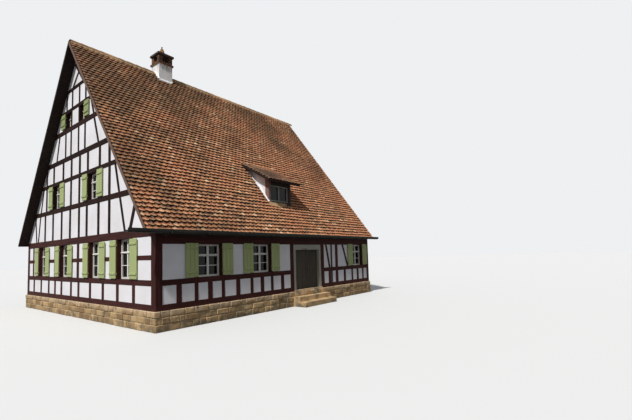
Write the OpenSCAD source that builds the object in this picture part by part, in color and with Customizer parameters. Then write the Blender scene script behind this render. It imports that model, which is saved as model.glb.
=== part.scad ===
// Half timbered farmhouse with a steep tiled roof, a lean-to dormer and a chimney on the ridge.
// The front gable faces -Y, the garden side +X, and the plinth stands on Z = 0.
// Along the long walls, places are measured from the outer face of the front gable.

/* [House] */
// Width of the gables, over the timbers
house_w = 11000; // [10000:100:12000]
// Length of the long walls, over the gables
house_l = 11300; // [11300:100:12000]
// Height of the sandstone plinth
plinth_h = 550; // [300:10:800]
// Thickness of the timbered walls
wall_t = 200; // [160:10:240]
// How far the plaster lies behind the timber faces
plaster_recess = 12; // [0:1:25]

/* [Roof] */
// Slope of the main roof in degrees
roof_pitch = 52.5; // [50:0.5:54]
// Height of the roof deck at the ridge
ridge_z = 10080; // [10000:10:10200]
// Thickness of the roof deck with its battens
deck_t = 80; // [70:10:110]
// How far the roof reaches past the gables
verge_out = 320; // [200:10:400]
// How far the deck reaches past the long walls
eaves_out = 130; // [100:10:140]
// Width of the gutter trough
gutter_w = 210; // [200:5:240]
// How far the gutter runs on past the front gable
gutter_out = 870; // [400:10:1100]

/* [Windows and door] */
// Width of a window of the ground storey
window_w = 840; // [700:10:900]
// Width of a window of the attic
attic_window_w = 780; // [600:10:800]
// Width of a window of the loft
loft_window_w = 480; // [400:10:500]
// How far the casements lie behind the timber faces
window_setback = 130; // [40:5:140]
// Thickness of a shutter board
shutter_t = 28; // [20:1:40]
// Clear width of the doorway
door_w = 1480; // [1200:10:1500]
// Thickness of the door leaves
door_t = 45; // [35:1:60]

/* [Chimney and dormer] */
// Side of the square chimney shaft
chimney_w = 620; // [500:10:700]
// Near side of the chimney, from the front gable
chimney_at = 2990; // [2990:10:3200]
// Near cheek of the dormer, from the front gable
dormer_at = 5170; // [5000:10:5500]
// Width of the dormer over its cheeks
dormer_w = 1300; // [1260:10:1500]
// Outer face of the dormer front, from the ridge line
dormer_x = 4640; // [4600:10:4680]

/* [Hidden] */
$fn = 48;

timber_color = "#4a2a27";
plaster_color = "#f3f1f6";
roof_color = "#a8643c";
green = "#a9bf78";
white_paint = "#eceae2";
glass_color = "#6f8290";
stone_color = "#c9a968";
board_color = "#5b4635";
iron_color = "#2c2a28";
door_color = "#4d4a44";
frame_grey = "#b9b7ae";
render_color = "#e6e1d8";
brick_color = "#9a553c";

// Outer faces of the walls
gx = house_w / 2;
gy = house_l / 2;
shoulder = 1;             // hairline joint where one timber meets another
roof_gap = 1;             // hairline joint under and on the roof deck

// Heights of the rails: [bottom, top] of each, from the sill beam up
sill_z = [plinth_h, plinth_h + 170];
rail_z = [1225, 1385];    // window sill rail of the ground storey
mid_z = [1940, 2070];     // short rails between the windows
tie_z = [2590, 2830];     // tie beam of the gable
plate_z = [2370, 2600];   // wall plate of the long walls
collar1_z = [3890, 4070];
head1_z = [4990, 5145];
collar2_z = [5795, 5985];
collar3_z = [6910, 7095];
head2_z = [7675, 7815];
collar4_z = [8450, 8590];

// Widths of the timbers
corner_post = 250;
post_w = 170;
flank_w = 130;            // posts beside the windows
loft_flank_w = 110;
brace_w = 120;
stud_w = 170;
stout_brace_w = 165;

// Places of the timbers on the gable, from its centre line
ground_windows = [-3550, -1150, 1570, 3660];
ground_posts = [[-4730, 150], [-2120, 150], [180, 200]];
ground_studs = [-4590, -3680, -2770, -2060, -1380, -430, 260, 1250, 2240, 3260, 4270];
attic_windows = [-2010, 1380];
attic_posts = [-3200, -570, 215, 2650];
attic_low_studs = [-3330, -2410, -1470, -615, 220, 900, 1850, 2655];
attic_top_studs = [-3200, -2400, -1375, -550, 235, 945, 1915, 2640];
loft_windows = [-900, 385];
loft_low_studs = [-1180, -640, 70, 655];
loft_top_studs = [-1110, -560, 110, 680];

// Braces of the gable: [foot, head] of each within its band
attic_low_braces = [[-4380, -4560], [-4160, -3930], [3710, 3390]];
stout_brace = [4030, 4470];
attic_braces = [[-3880, -3560], [3330, 3060]];
loft_low_braces = [[-2100, -1820], [1780, 1430]];
loft_braces = [[1380, 1150]];
crown_through = [430, -330];
crown_meeting = [-500, 0];
crown_meeting_top = 9020;
crown_through_top = 9420;

// Places on the garden wall, from the front gable
garden_window_at = [1750, 3920, 10250];
garden_posts = [[5500, 200], [7460, 200], [8110, 110], [8500, 200]];
garden_low_studs = [700, 1750, 2835, 3920, 4950, 7950, 9130, 10250];
garden_braces = [[7960, 7720], [9380, 9000]];
// Places on the yard wall, from the front gable
yard_window_at = [1900, 4300, 7000, 9400];
yard_posts = [[3100, 170], [5650, 200], [8200, 170]];
yard_low_studs = [700, 1900, 3700, 4300, 6200, 7000, 8700, 9400, 10500];
yard_braces = [[420, 900], [10880, 10400]];

// Doorway
door_at = 5740;           // near side of the opening, from the front gable
jamb_w = 140;
door_head_z = 2160;
threshold_top = plinth_h + 50;
door_gap = 6;             // air round the leaves
hinge_x = gx - wall_t - 17;
hinge_out = 5;            // pivot line beyond the side of the opening
knuckle_r = 12;
ledge_t = 27;
ledge_h = 120;
leaf_x = gx - wall_t + 16;
strap_t = 8;
strap_z = [900, 1800];    // heights of the strap hinges
strap_h = 50;
hook_air = 5;             // between a knuckle and the hooks under and over it
hook_h = 20;
hook_len = 40;            // of the spike that goes into the jamb
jamb_back = 20;           // door frame behind the wall's face
tread_run = 310;
tread_rise = 185;
step_over = 250;          // step past each side of the doorway

// Windows
frame_w = 45;             // width of the window frame bars
frame_t = 50;
glass_t = 6;
transom_share = 0.66;     // height of the transom as a share of the window

// Shutters
shutter_lap = 20;         // from the edge of the opening to the shutter
shutter_off = 15;         // air behind the shutter, as thick as its hinge blocks
block_w = 60;             // of a hinge block
batten_t = 20;
batten_h = 70;
batten_in = 110;          // from the end of the shutter to the batten

// Roof lines: the deck's top is ridge_z - x * slope
slope = tan(roof_pitch);
deck_v = deck_t / cos(roof_pitch);     // thickness measured upright
eaves_x = gx + eaves_out;
function deck_top(x) = ridge_z - slope * abs(x);
function deck_under(x) = deck_top(x) - deck_v;
function under_deck(x) = deck_under(x) - roof_gap;
function half_at(z) = (ridge_z - deck_v - roof_gap - z) / slope;
function from_front(t) = t - gy;       // a place along the house as Y

// Dormer lines
dormer_y = from_front(dormer_at);
dormer_top_x = 3230;      // where the dormer roof leaves the main roof
dormer_eaves = [4950, 4950];
dormer_eaves_cut = 50;    // slant of the eaves' end
dormer_over = 280;        // roof past the cheeks
dormer_deck_v = 94;
dormer_wall_t = 120;      // cheeks
dormer_front_t = 190;     // front, posts included
dormer_setback = 40;      // window behind the front
cheek_tip = 20;           // cheeks end blunt, this far before their slopes meet
dormer_slope = (deck_top(dormer_top_x) - dormer_eaves[1]) / (dormer_eaves[0] - dormer_top_x);
dormer_open = [90, 1150]; // window opening along the dormer front
dormer_open_z = [4150, 4800];
function dormer_top(x) = dormer_eaves[1] + dormer_slope * (dormer_eaves[0] - x);
function dormer_under(x) = dormer_top(x) - dormer_deck_v;
dormer_back_x = (ridge_z - dormer_under(0)) / (slope - dormer_slope);
dormer_room_x = dormer_top_x + 300;     // back of the opening in the main deck
dormer_window_w = dormer_open[1] - dormer_open[0];
dormer_window_at = (dormer_open[0] + dormer_open[1]) / 2;

// Chimney
chimney_y = from_front(chimney_at);
chimney_wall = 130;
flue_foot_z = plinth_h + 600;
shaft_top_z = 10475;
collar_t = 80;
collar_over = 40;
pier_w = 165;
pier_h = 325;
cap_over = 55;
cap_t = 80;
mound_r = 175;            // mortar mound on the cap
mound_top_r = 60;
mound_h = 345;
knob_r = 34;
knob_stem_r = 22;
knob_z = 425;             // centre of the knob over the cap

// Floors
board_t = 30;
beam_w = 180;
beam_at = [1500, 2800, 4200, 5600, 7000, 8400, 9800];
floor_gap = 20;

// Eaves
eaves_board_t = 30;
gutter_x = gx + 100;      // inner side of the trough
gutter_z = [2650, 2760];
gutter_inner_z = 2715;    // top of the side that the tiles hang over
gutter_wall = 30;
gutter_rear = 600;
gutter_edge = 35;         // hewn off the lower edges
hook_w = 30;
hook_t = 8;
hook_foot = 60;           // strap on the wall plate
hook_tip = 80;            // strap up the trough's outer side
hook_at = [300, 1500, 2800, 4200, 5600, 7000, 8400, 9800, 11000];

plinth_out = 30;
plinth_t = 250;

// Roof edges
ridge_r = 125;
ridge_drop = 50;          // centre of the ridge tiles under the deck's top
barge_t = 28;
barge_depth = [10, 85];   // from and to, below the deck's top

// Timbers drawn flat: x is the place along the wall, y the height.

// Outline of a gable up to the underside of the roof deck
module gable_outline(z0, z1) {
    intersection() {
        polygon([[-gx, plinth_h], [gx, plinth_h], [gx, under_deck(gx)], [0, under_deck(0)], [-gx, under_deck(gx)]]);
        translate([-gx, z0])
            square([house_w, z1 - z0]);
    }
}

// Upright between two rails; cut shortens it by the hairline joint at both ends
module upright(at, w, z, cut = shoulder) {
    translate([at - w / 2, z[0] + cut])
        square([w, z[1] - z[0] - 2 * cut]);
}

// Rail from one place to another
module rail(from, to, z, cut = shoulder) {
    translate([from + cut, z[0]])
        square([to - from - 2 * cut, z[1] - z[0]]);
}

// Slanting timber whose ends are cut level, from its foot to its head. Without the cut
// it is the room for it, wider by the hairline joint.
module brace(foot_head, z, w = brace_w, cut = shoulder) {
    lean = (foot_head[1] - foot_head[0]) / (z[1] - z[0]);
    half = (w + shoulder - cut) / 2 * sqrt(1 + lean * lean);
    low = foot_head[0] + lean * cut;
    high = foot_head[1] - lean * cut;
    polygon([[low - half, z[0] + cut], [low + half, z[0] + cut], [high + half, z[1] - cut], [high - half, z[1] - cut]]);
}

// The two posts beside each window
module flanks(places, opening, w, z, cut = shoulder)
    for (at = places, side = [-1, 1])
        upright(at + side * (opening + w) / 2, w, z, cut);

// Openings of a row of windows
module openings(places, opening, z)
    for (at = places)
        translate([at - opening / 2, z[0]])
            square([opening, z[1] - z[0]]);

ground_low = [sill_z[1], rail_z[0]];
ground_high = [rail_z[1], tie_z[0]];
side_high = [rail_z[1], plate_z[0]];
attic_low = [tie_z[1], collar1_z[0]];
attic_mid = [collar1_z[1], head1_z[0]];
attic_top = [head1_z[1], collar2_z[0]];
loft_low = [collar2_z[1], collar3_z[0]];
loft_mid = [collar3_z[1], head2_z[0]];
loft_top = [head2_z[1], collar4_z[0]];

// Sides of all uprights in the window band of the ground storey, from left to right
ground_uprights = concat([[-gx + corner_post / 2, corner_post], [gx - corner_post / 2, corner_post]], ground_posts,
    [for (at = ground_windows, side = [-1, 1]) [at + side * (window_w + flank_w) / 2, flank_w]]);
// Right-hand neighbour of an upright that ends at x
function next_side(x) = min([for (u = ground_uprights) if (u[0] - u[1] / 2 > x) u[0] - u[1] / 2]);
function is_window(a, b) = len([for (at = ground_windows) if (abs((a + b) / 2 - at) < 1) at]) > 0;

module ground_timbers(cut) {
    rail(-gx - cut, gx + cut, sill_z, cut);
    rail(-gx - cut, gx + cut, tie_z, cut);
    rail(-gx + corner_post, gx - corner_post, rail_z, cut);
    for (side = [-1, 1])
        upright(side * (gx - corner_post / 2), corner_post, [sill_z[1], tie_z[0]], cut);
    for (at = ground_studs)
        upright(at, post_w, ground_low, cut);
    for (p = ground_posts)
        upright(p[0], p[1], ground_high, cut);
    flanks(ground_windows, window_w, flank_w, ground_high, cut);
    for (u = ground_uprights)
        if (u[0] < gx - corner_post)
            let (a = u[0] + u[1] / 2, b = next_side(a))
                if (!is_window(a, b))
                    rail(a, b, mid_z, cut);
}

module gable_timbers(cut) {
    for (z = [collar1_z, head1_z, collar2_z, collar3_z, head2_z, collar4_z])
        rail(-gx, gx, z, cut);
    for (at = attic_low_studs)
        upright(at, stud_w, attic_low, cut);
    for (at = attic_posts)
        upright(at, stud_w, attic_mid, cut);
    flanks(attic_windows, attic_window_w, flank_w, attic_mid, cut);
    for (at = attic_top_studs)
        upright(at, stud_w, attic_top, cut);
    for (at = loft_low_studs)
        upright(at, flank_w, loft_low, cut);
    flanks(loft_windows, loft_window_w, loft_flank_w, loft_mid, cut);
    for (at = loft_top_studs)
        upright(at, flank_w, loft_top, cut);
    for (b = attic_low_braces)
        brace(b, attic_low, cut = cut);
    brace(stout_brace, attic_low, stout_brace_w, cut);
    for (b = attic_braces)
        brace(b, attic_mid, cut = cut);
    for (b = loft_low_braces)
        brace(b, loft_low, cut = cut);
    for (b = loft_braces)
        brace(b, loft_mid, cut = cut);
    crown_z = [collar4_z[1], crown_through_top];
    brace(crown_through, crown_z, cut = cut);
    difference() {
        brace(crown_meeting, [collar4_z[1], crown_meeting_top], cut = cut);
        brace(crown_through, crown_z, brace_w + 2 * cut, 0);
    }
}

// Turns a flat gable into a wall; front and rear are the same, looking at each from outside
module on_front(back, thick)
    translate([0, -gy + back + thick, 0])
        rotate([90, 0, 0])
            linear_extrude(thick)
                children();

module gable_frame(ground)
    color(timber_color)
        on_front(0, wall_t)
            intersection() {
                gable_outline(plinth_h, ridge_z);
                if (ground)
                    ground_timbers(shoulder);
                else
                    gable_timbers(shoulder);
            }

module gable_infill(ground)
    color(plaster_color)
        on_front(plaster_recess, wall_t - plaster_recess - shoulder)
            difference() {
                gable_outline(ground ? sill_z[1] : tie_z[1], ground ? tie_z[0] : ridge_z);
                if (ground) {
                    ground_timbers(0);
                    openings(ground_windows, window_w, ground_high);
                } else {
                    gable_timbers(0);
                    openings(attic_windows, attic_window_w, attic_mid);
                    openings(loft_windows, loft_window_w, loft_mid);
                }
            }

// Turns a flat long wall, drawn from the front gable on, into a wall
module on_side(right, back, thick) {
    x = right ? gx - back - thick : -gx + back;
    translate([x, -gy, 0])
        rotate([90, 0, 90])
            linear_extrude(thick)
                children();
}

// Every full height post of a long wall, as [place, width]
function side_posts(windows, posts) = concat(posts,
    [for (at = windows, side = [-1, 1]) [at + side * (window_w + flank_w) / 2, flank_w]]);

module side_timbers(windows, posts, low_studs, braces, door, cut) {
    height = [sill_z[1], plate_z[0]];
    rail(wall_t, house_l - wall_t, plate_z, cut);
    for (p = side_posts(windows, posts))
        upright(p[0], p[1], height, cut);
    for (at = low_studs)
        upright(at, post_w, ground_low, cut);
    difference() {
        union() {
            rail(wall_t, house_l - wall_t, sill_z, cut);
            rail(wall_t, house_l - wall_t, rail_z, cut);
            for (b = braces)
                brace(b, side_high, cut = cut);
        }
        for (p = side_posts(windows, posts))
            upright(p[0], p[1] + 2 * cut, height, 0);
        if (door)
            door_bay(cut);
    }
}

// The bay that the door frame fills
module door_bay(grow = 0)
    translate([door_at - jamb_w - grow, plinth_h - 1])
        square([door_w + 2 * (jamb_w + grow), plate_z[0] - plinth_h + 1]);

module side_frame(right, windows, posts, low_studs, braces, door)
    color(timber_color)
        on_side(right, 0, wall_t)
            side_timbers(windows, posts, low_studs, braces, door, shoulder);

module side_infill(right, windows, posts, low_studs, braces, door)
    color(plaster_color)
        on_side(right, plaster_recess, wall_t - plaster_recess - shoulder)
            difference() {
                translate([wall_t, sill_z[1]])
                    square([house_l - 2 * wall_t, plate_z[0] - sill_z[1]]);
                side_timbers(windows, posts, low_studs, braces, door, 0);
                openings(windows, window_w, side_high);
                if (door)
                    door_bay();
            }

// Window frame with a mullion and a transom, drawn flat
module window_bars(at, w, z) {
    h = z[1] - z[0];
    translate([at - w / 2, z[0]])
        difference() {
            square([w, h]);
            for (light = [0, 1], row = [0, 1]) {
                lw = (w - 3 * frame_w) / 2;
                low = row == 0 ? frame_w : h * transom_share + frame_w / 2;
                high = row == 0 ? h * transom_share - frame_w / 2 : h - frame_w;
                translate([frame_w + light * (lw + frame_w), low])
                    square([lw, high - low]);
            }
        }
}

// Glass sheet that lies against the back of the frame, drawn flat
module pane(at, w, z)
    translate([at - (w - frame_w) / 2, z[0] + frame_w / 2])
        square([w - frame_w, z[1] - z[0] - frame_w]);

// Shutters lie open beside their windows: [place, opening, heights, side, width] of each,
// where side is -1 left of the window and 1 right. Their boards, battens and hinge blocks, drawn flat:
function shutter_side(s, w) = s[0] + s[3] * (s[1] / 2 + shutter_lap + w / 2) - w / 2;
function batten_feet(s) = [s[2][0] + batten_in, s[2][1] - batten_in - batten_h];

module shutter_boards(shutters)
    for (s = shutters)
        translate([shutter_side(s, s[4]), s[2][0]])
            square([s[4], s[2][1] - s[2][0]]);

module shutter_battens(shutters)
    for (s = shutters, low = batten_feet(s))
        translate([shutter_side(s, s[4]), low])
            square([s[4], batten_h]);

module shutter_blocks(shutters)
    for (s = shutters, low = batten_feet(s))
        translate([shutter_side(s, block_w), low])
            square([block_w, batten_h]);

ground_shutter_z = [rail_z[1] + 20, tie_z[0] - 20];
side_shutter_z = [rail_z[1] + 20, plate_z[0] + 30];
attic_shutter_z = [collar1_z[1] + 10, head1_z[0] + 20];
loft_shutter_z = [collar3_z[1] + 20, head2_z[0] + 15];

// All windows of a gable: [places, width, heights]
gable_windows = [[ground_windows, window_w, ground_high], [attic_windows, attic_window_w, attic_mid],
    [loft_windows, loft_window_w, loft_mid]];

module gable_window_frames()
    color(white_paint)
        on_front(window_setback, frame_t)
            for (row = gable_windows, at = row[0])
                window_bars(at, row[1], row[2]);

module gable_glass(rows)
    color(glass_color)
        on_front(window_setback + frame_t, glass_t)
            for (row = rows, at = gable_windows[row][0])
                pane(at, gable_windows[row][1], gable_windows[row][2]);

// Each loft window has one shutter, on its outer side
gable_shutter_list = concat(
    [for (at = ground_windows, side = [-1, 1]) [at, window_w, ground_shutter_z, side, window_w / 2]],
    [for (at = attic_windows, side = [-1, 1]) [at, attic_window_w, attic_shutter_z, side, attic_window_w / 2 + 20]],
    [for (i = [0, 1]) [loft_windows[i], loft_window_w, loft_shutter_z, 2 * i - 1, loft_window_w - 90]]);

module gable_shutters()
    color(green) {
        on_front(-shutter_off, shutter_off)
            shutter_blocks(gable_shutter_list);
        on_front(-shutter_off - shutter_t, shutter_t)
            shutter_boards(gable_shutter_list);
        on_front(-shutter_off - shutter_t - batten_t, batten_t)
            shutter_battens(gable_shutter_list);
    }

module side_window_frames(right, windows)
    color(white_paint)
        on_side(right, window_setback, frame_t)
            for (at = windows)
                window_bars(at, window_w, side_high);

module side_glass(right, windows)
    color(glass_color)
        on_side(right, window_setback + frame_t, glass_t)
            for (at = windows)
                pane(at, window_w, side_high);

module side_shutters(right, windows) {
    shutters = [for (at = windows, side = [-1, 1]) [at, window_w, side_shutter_z, side, window_w / 2]];
    color(green) {
        on_side(right, -shutter_off, shutter_off)
            shutter_blocks(shutters);
        on_side(right, -shutter_off - shutter_t, shutter_t)
            shutter_boards(shutters);
        on_side(right, -shutter_off - shutter_t - batten_t, batten_t)
            shutter_battens(shutters);
    }
}

module at_rear()
    rotate([0, 0, 180])
        children();

// Plinth and floors

module plinth_gables()
    color(stone_color)
        for (side = [-1, 1])
            translate([-gx - plinth_out, side * (gy + plinth_out - plinth_t / 2) - plinth_t / 2, 0])
                cube([house_w + 2 * plinth_out, plinth_t, plinth_h]);

module plinth_sides()
    color(stone_color)
        for (side = [-1, 1])
            translate([side * (gx + plinth_out - plinth_t / 2) - plinth_t / 2, -gy - plinth_out + plinth_t, 0])
                cube([plinth_t, house_l + 2 * plinth_out - 2 * plinth_t, plinth_h]);

// Stone floor on its bed, inside the plinth
module ground_floor() {
    inner = plinth_t - plinth_out;
    color(stone_color)
        translate([-gx + inner, -gy + inner, 0])
            cube([house_w - 2 * inner, house_l - 2 * inner, plinth_h]);
}

// Room left for the chimney in a floor or a deck
module chimney_room()
    translate([-chimney_w / 2, chimney_y, -1])
        cube([chimney_w, chimney_w, 20000]);

// Beams across the house at two levels, their ends cut to the roof
module floor_beams()
    color(timber_color)
        for (z = [[plate_z[1], tie_z[1]], collar2_z], t = beam_at)
            translate([0, from_front(t) + beam_w / 2, 0])
                rotate([90, 0, 0])
                    linear_extrude(beam_w)
                        intersection() {
                            gable_outline(z[0], z[1]);
                            translate([-gx + eaves_board_t, z[0]])
                                square([house_w - 2 * eaves_board_t, z[1] - z[0]]);
                        }

module boarded_floor(z) {
    half = half_at(z + board_t) - floor_gap;
    inner = gy - wall_t;
    color(board_color)
        difference() {
            translate([-half, -inner, z])
                cube([2 * half, 2 * inner, board_t]);
            chimney_room();
        }
}

module attic_floor()
    boarded_floor(tie_z[1]);

module loft_floor()
    boarded_floor(collar2_z[1]);

// Doorway

module in_doorway(x, depth, y, w, z, h)
    translate([x, from_front(y), z])
        cube([depth, w, h]);

module door_frame() {
    x = gx - wall_t;
    depth = wall_t - jamb_back;
    color(frame_grey) {
        for (y = [door_at - jamb_w, door_at + door_w])
            in_doorway(x, depth, y, jamb_w, threshold_top, door_head_z - threshold_top - shoulder);
        in_doorway(x, depth, door_at - jamb_w, door_w + 2 * jamb_w, door_head_z, plate_z[0] - door_head_z);
    }
}

module door_threshold()
    color(stone_color)
        in_doorway(gx - wall_t, wall_t + plinth_out, door_at - jamb_w, door_w + 2 * jamb_w, plinth_h, threshold_top - plinth_h);

// Two stone treads in front of the plinth
module door_step()
    color(stone_color)
        translate([gx + plinth_out, from_front(door_at + door_w + step_over), 0])
            rotate([90, 0, 0])
                linear_extrude(door_w + 2 * step_over)
                    for (i = [1, 2])
                        square([i * tread_run, (3 - i) * tread_rise]);

// One leaf, hinged on its near side at y = 0; mirrored for the far leaf
module door_leaf() {
    w = door_w / 2 - 1.5 * door_gap;
    h = door_head_z - threshold_top - 2 * door_gap;
    z0 = threshold_top + door_gap;
    color(door_color) {
        translate([leaf_x, door_gap, z0])
            cube([door_t, w, h]);
        for (z = strap_z)
            translate([leaf_x - ledge_t, 3 * door_gap, z - ledge_h / 2])
                cube([ledge_t, w - 4 * door_gap, ledge_h]);
    }
    color(iron_color)
        for (z = strap_z) {
            translate([leaf_x - ledge_t - strap_t, -hinge_out, z - strap_h / 2])
                cube([strap_t, w * 0.75, strap_h]);
            translate([hinge_x, -hinge_out, z - strap_h / 2])
                cylinder(r = knuckle_r, h = strap_h);
        }
}

module door_leaf_left()
    translate([0, from_front(door_at), 0])
        door_leaf();

module door_leaf_right()
    translate([0, from_front(door_at + door_w), 0])
        mirror([0, 1, 0])
            door_leaf();

// Hooks on the jambs that carry the strap hinges, under and over each knuckle
module door_hooks()
    color(iron_color)
        for (side = [0, 1], z = strap_z, up = [0, 1]) {
            y = from_front(door_at + side * door_w) + (side == 0 ? -hinge_out : hinge_out);
            low = up == 0 ? z - strap_h / 2 - hook_air - hook_h : z + strap_h / 2 + hook_air;
            translate([hinge_x, y, low])
                cylinder(r = knuckle_r - 4, h = hook_h);
            translate([hinge_x, y + (side == 0 ? -hook_len : 0), low])
                cube([gx - wall_t - hinge_x, hook_len, hook_h]);
        }

// Roof

module along_house(y0, y1)
    translate([0, y1, 0])
        rotate([90, 0, 0])
            linear_extrude(y1 - y0)
                children();

// Section of one roof slope, from depth a to depth b below the deck's top
module slope_section(a, b) {
    nx = sin(roof_pitch);
    nz = cos(roof_pitch);
    top = deck_top(eaves_x);
    polygon([[0, ridge_z - a / nz], [eaves_x - a * nx, top - a * nz], [eaves_x - b * nx, top - b * nz], [0, ridge_z - b / nz]]);
}

module deck()
    color(roof_color)
        difference() {
            along_house(-gy - verge_out, gy + verge_out)
                slope_section(0, deck_t);
            chimney_room();
        }

// The garden slope is open inside the dormer, up to the outer face of its front
module roof_garden()
    color(roof_color)
        difference() {
            deck();
            translate([dormer_room_x, dormer_y + dormer_wall_t, 0])
                cube([dormer_x - dormer_room_x, dormer_w - 2 * dormer_wall_t, ridge_z]);
        }

module roof_yard()
    mirror([1, 0, 0])
        deck();

// Half round tiles bedded on the ridge
module ridge_capping() {
    far = 2 * ridge_r;
    color(roof_color)
        difference() {
            along_house(-gy - verge_out, gy + verge_out)
                difference() {
                    translate([0, ridge_z - ridge_drop])
                        circle(ridge_r);
                    translate([0, roof_gap])
                        polygon([[0, ridge_z], [far, deck_top(far)], [0, ridge_z - 2 * far], [-far, deck_top(far)]]);
                }
            chimney_room();
        }
}

module bargeboards()
    color(board_color)
        for (y = [-gy - verge_out - barge_t, gy + verge_out], side = [0, 1])
            mirror([side, 0, 0])
                along_house(y, y + barge_t)
                    intersection() {
                        slope_section(barge_depth[0], barge_depth[1]);
                        translate([shoulder / 2, 0])
                            square([house_w, ridge_z]);
                    }

// Boards that close the gap between wall plate and roof
module eaves_boards()
    color(board_color)
        for (side = [0, 1])
            mirror([side, 0, 0])
                along_house(-gy + wall_t, gy - wall_t)
                    polygon([[gx - eaves_board_t, plate_z[1]], [gx, plate_z[1]], [gx, under_deck(gx)],
                        [gx - eaves_board_t, under_deck(gx - eaves_board_t)]]);

// Trough hewn from a log under the garden eaves, round inside, its inner side lower
module gutter() {
    r = gutter_w / 2 - gutter_wall;
    h = gutter_z[1] - gutter_z[0];
    inner_h = gutter_inner_z - gutter_z[0];
    color(board_color)
        along_house(-gy - gutter_out, gy + gutter_rear)
            translate([gutter_x, gutter_z[0]])
                difference() {
                    polygon([[gutter_edge, 0], [gutter_w - gutter_edge, 0], [gutter_w, gutter_edge], [gutter_w, h],
                        [gutter_w / 2, h], [gutter_w / 2, inner_h], [0, inner_h], [0, gutter_edge]]);
                    translate([gutter_w / 2, gutter_wall + r])
                        circle(r);
                    translate([gutter_wall, gutter_wall + r])
                        square([2 * r, h]);
                }
}

// Iron hooks from the wall plate under the trough
module gutter_hooks()
    color(iron_color)
        for (t = hook_at)
            along_house(from_front(t) - hook_w / 2, from_front(t) + hook_w / 2) {
                translate([gx, gutter_z[0] - hook_t - hook_foot])
                    square([hook_t, hook_foot + hook_t]);
                translate([gx, gutter_z[0] - hook_t])
                    square([gutter_x + gutter_w + hook_t - gx, hook_t]);
                translate([gutter_x + gutter_w, gutter_z[0] - hook_t])
                    square([hook_t, hook_tip]);
            }

// Chimney

module square_slab(w, z, h)
    translate([-w / 2, chimney_y + chimney_w / 2 - w / 2, z])
        cube([w, w, h]);

module chimney_stack()
    color(render_color)
        difference() {
            square_slab(chimney_w, plinth_h, shaft_top_z - plinth_h);
            square_slab(chimney_w - 2 * chimney_wall, flue_foot_z, shaft_top_z);
        }

// Collar slab with four brick piers, each on its mortar joint
module chimney_head() {
    inner = chimney_w / 2 - pier_w / 2;
    color(brick_color) {
        difference() {
            square_slab(chimney_w + 2 * collar_over, shaft_top_z, collar_t);
            square_slab(chimney_w - 2 * chimney_wall, shaft_top_z - 1, collar_t + 2);
        }
        for (sx = [-1, 1], sy = [-1, 1])
            translate([sx * inner, sy * inner, 0])
                square_slab(pier_w, shaft_top_z + collar_t + shoulder, pier_h - shoulder);
    }
}

// Cover slab with a mortar mound and a small knob
module chimney_cap() {
    z = shaft_top_z + collar_t + pier_h;
    color(stone_color) {
        square_slab(chimney_w + 2 * cap_over, z, cap_t);
        translate([0, chimney_y + chimney_w / 2, z + cap_t]) {
            cylinder(r1 = mound_r, r2 = mound_top_r, h = mound_h);
            cylinder(r = knob_stem_r, h = knob_z);
            translate([0, 0, knob_z])
                sphere(r = knob_r);
        }
    }
}

// Dormer

// Section of the dormer's walls from x0 to x1, over the main deck or, sunk, down through it
module dormer_section(x0, x1, sunk = false) {
    foot = sunk ? -deck_v : roof_gap;
    polygon([[x0, deck_top(x0) + foot], [x1, deck_top(x1) + foot], [x1, dormer_under(x1) - roof_gap],
        [x0, dormer_under(x0) - roof_gap]]);
}

// Front of the dormer; between the cheeks it fills the end of the opening in the main deck
module dormer_frame()
    color(timber_color)
        difference() {
            union() {
                along_house(dormer_y, dormer_y + dormer_w)
                    dormer_section(dormer_x - dormer_front_t, dormer_x - shoulder);
                along_house(dormer_y + dormer_wall_t + shoulder, dormer_y + dormer_w - dormer_wall_t - shoulder)
                    dormer_section(dormer_x - dormer_front_t, dormer_x - shoulder, true);
            }
            translate([dormer_x - 2 * dormer_front_t, dormer_y + dormer_open[0], dormer_open_z[0]])
                cube([3 * dormer_front_t, dormer_window_w, dormer_open_z[1] - dormer_open_z[0]]);
        }

module dormer_cheeks()
    color(plaster_color)
        for (y = [dormer_y, dormer_y + dormer_w - dormer_wall_t])
            along_house(y, y + dormer_wall_t)
                dormer_section(dormer_back_x + cheek_tip, dormer_x - dormer_front_t - shoulder);

module dormer_roof()
    color(roof_color)
        along_house(dormer_y - dormer_over, dormer_y + dormer_w + dormer_over)
            translate([roof_gap, roof_gap])
                polygon([[dormer_top_x, dormer_top(dormer_top_x)], dormer_eaves,
                    [dormer_eaves[0] - dormer_eaves_cut, dormer_under(dormer_eaves[0] - dormer_eaves_cut)],
                    [dormer_back_x, dormer_under(dormer_back_x)]]);

// Places the dormer's window or glass, drawn flat along Y
module in_dormer(back, thick)
    translate([dormer_x - back - thick, dormer_y, 0])
        rotate([90, 0, 90])
            linear_extrude(thick)
                children();

module dormer_window()
    color(frame_grey)
        in_dormer(dormer_setback, frame_t)
            translate([dormer_window_at - dormer_window_w / 2, dormer_open_z[0]])
                difference() {
                    h = dormer_open_z[1] - dormer_open_z[0];
                    light = (dormer_window_w - 3 * frame_w) / 2;
                    square([dormer_window_w, h]);
                    for (i = [0, 1])
                        translate([frame_w + i * (light + frame_w), frame_w])
                            square([light, h - 2 * frame_w]);
                }

module dormer_glass()
    color(glass_color)
        in_dormer(dormer_setback + frame_t, glass_t)
            pane(dormer_window_at, dormer_window_w, dormer_open_z);

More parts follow.
